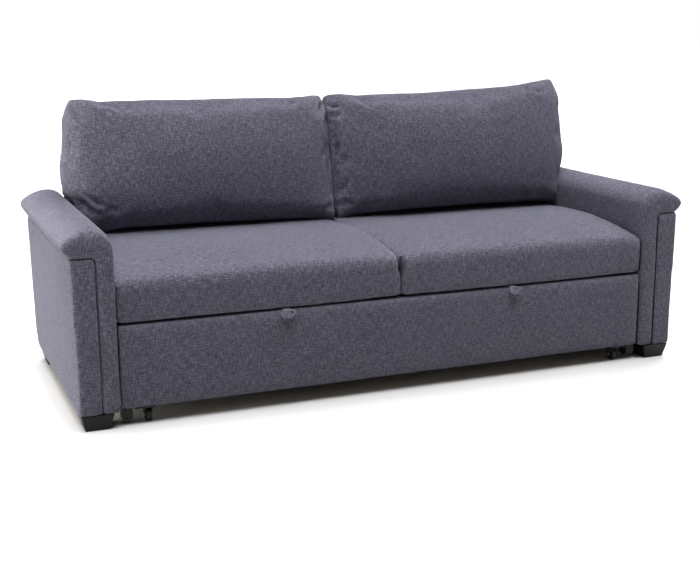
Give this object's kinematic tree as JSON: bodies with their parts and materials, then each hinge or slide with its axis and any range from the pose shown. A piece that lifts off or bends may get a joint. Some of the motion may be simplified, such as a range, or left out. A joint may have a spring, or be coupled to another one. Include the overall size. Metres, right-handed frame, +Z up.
{
  "type": "sleeper sofa",
  "caption": "Fabric sofa with rolled arms, loose back cushions and a wheeled base that pulls out from under the seat to make a bed.",
  "frame": {"origin": "on the floor, under the middle of the sofa's bounding box", "axes": "+X along the sofa to the viewer's right, +Y from the front to the back, +Z up"},
  "size_m": [2.1754, 0.915, 0.9532],
  "materials": {
    "upholstery": "melange weave, matt",
    "deck_cloth": "plain weave, matt",
    "timber": "planed pine and plywood, unfinished",
    "foot_wood": "black satin lacquer",
    "zinc_steel": "zinc plated",
    "spring_steel": "drawn wire, oiled",
    "black_cloth": "woven strap and thin non-woven cloth",
    "black_rubber": "matt",
    "bracket_paint": "black powder coat",
    "black_plastic": "moulded, matt",
    "white_nylon": "turned, matt"
  },
  "bodies": {
    "sofa": {"arm_frame_left": "timber", "arm_frame_right": "timber", "arm_front_panel_left": "upholstery", "arm_front_panel_right": "upholstery", "arm_side_panel_left": "upholstery", "arm_side_panel_right": "upholstery", "arm_rear_panel_left": "upholstery", "arm_rear_panel_right": "upholstery", "arm_pad_left": "upholstery", "arm_pad_right": "upholstery", "foot_front_left": "foot_wood", "foot_front_right": "foot_wood", "foot_rear_left": "foot_wood", "foot_rear_right": "foot_wood", "foot_bolts": "zinc_steel", "back_frame": "timber", "back_pad": "upholstery", "back_panel": "upholstery", "back_webbing": "black_cloth", "seat_frame": "timber", "seat_springs": "spring_steel", "seat_bolts": "zinc_steel", "seat_cushion_left": "upholstery", "seat_cushion_right": "upholstery", "seat_dust_cover": "black_cloth", "guide_rail_left": "zinc_steel", "guide_rail_right": "zinc_steel", "rail_stops": "black_rubber", "rail_screws": "zinc_steel"},
    "bed_base": {"bed_front_pad": "upholstery", "bed_front_board": "timber", "bed_frame": "timber", "bed_slats": "timber", "bed_deck_pad": "deck_cloth", "roller_bolt_left": "zinc_steel", "roller_bolt_right": "zinc_steel", "caster_bracket_front_left": "bracket_paint", "caster_bracket_front_right": "bracket_paint", "caster_bracket_rear_left": "bracket_paint", "caster_bracket_rear_right": "bracket_paint", "caster_axles": "zinc_steel", "caster_screws": "zinc_steel", "corner_glide_left": "black_plastic", "corner_glide_right": "black_plastic", "pull_tab_left": "upholstery", "pull_tab_right": "upholstery"},
    "caster_wheel_front_left": {"caster_wheel_front_left": "black_plastic"},
    "caster_wheel_front_right": {"caster_wheel_front_right": "black_plastic"},
    "caster_wheel_rear_left": {"caster_wheel_rear_left": "black_plastic"},
    "caster_wheel_rear_right": {"caster_wheel_rear_right": "black_plastic"},
    "guide_roller_left": {"guide_roller_left": "white_nylon"},
    "guide_roller_right": {"guide_roller_right": "white_nylon"},
    "back_cushion_left": {"back_cushion_left": "upholstery"},
    "back_cushion_right": {"back_cushion_right": "upholstery"}
  },
  "joints": [
    {"name": "bed_slide", "type": "slide", "parent": "sofa", "child": "bed_base", "axis": [0, -1, 0], "range_m": [0, 0.49]},
    {"name": "wheel_front_left_spin", "type": "hinge", "parent": "bed_base", "child": "caster_wheel_front_left", "pos_m": [-0.845, -0.4125, 0.02], "axis": [1, 0, 0], "continuous": true},
    {"name": "wheel_front_right_spin", "type": "hinge", "parent": "bed_base", "child": "caster_wheel_front_right", "pos_m": [0.845, -0.4125, 0.02], "axis": [1, 0, 0], "continuous": true},
    {"name": "wheel_rear_left_spin", "type": "hinge", "parent": "bed_base", "child": "caster_wheel_rear_left", "pos_m": [-0.845, 0.1175, 0.02], "axis": [1, 0, 0], "continuous": true},
    {"name": "wheel_rear_right_spin", "type": "hinge", "parent": "bed_base", "child": "caster_wheel_rear_right", "pos_m": [0.845, 0.1175, 0.02], "axis": [1, 0, 0], "continuous": true},
    {"name": "roller_left_spin", "type": "hinge", "parent": "bed_base", "child": "guide_roller_left", "pos_m": [-0.9355, 0.1485, 0.2], "axis": [1, 0, 0], "continuous": true},
    {"name": "roller_right_spin", "type": "hinge", "parent": "bed_base", "child": "guide_roller_right", "pos_m": [0.9355, 0.1485, 0.2], "axis": [1, 0, 0], "continuous": true},
    {"name": "cushion_left_lift", "type": "slide", "parent": "sofa", "child": "back_cushion_left", "axis": [0, 0, 1], "range_m": [0, 0.5]},
    {"name": "cushion_right_lift", "type": "slide", "parent": "sofa", "child": "back_cushion_right", "axis": [0, 0, 1], "range_m": [0, 0.5]}
  ],
  "couplings": [
    {"joint": "wheel_front_left_spin", "follows": "bed_slide", "rad_per_m": 50},
    {"joint": "wheel_front_right_spin", "follows": "bed_slide", "rad_per_m": 50},
    {"joint": "wheel_rear_left_spin", "follows": "bed_slide", "rad_per_m": 50},
    {"joint": "wheel_rear_right_spin", "follows": "bed_slide", "rad_per_m": 50},
    {"joint": "roller_left_spin", "follows": "bed_slide", "rad_per_m": 66.667},
    {"joint": "roller_right_spin", "follows": "bed_slide", "rad_per_m": 66.667}
  ]
}
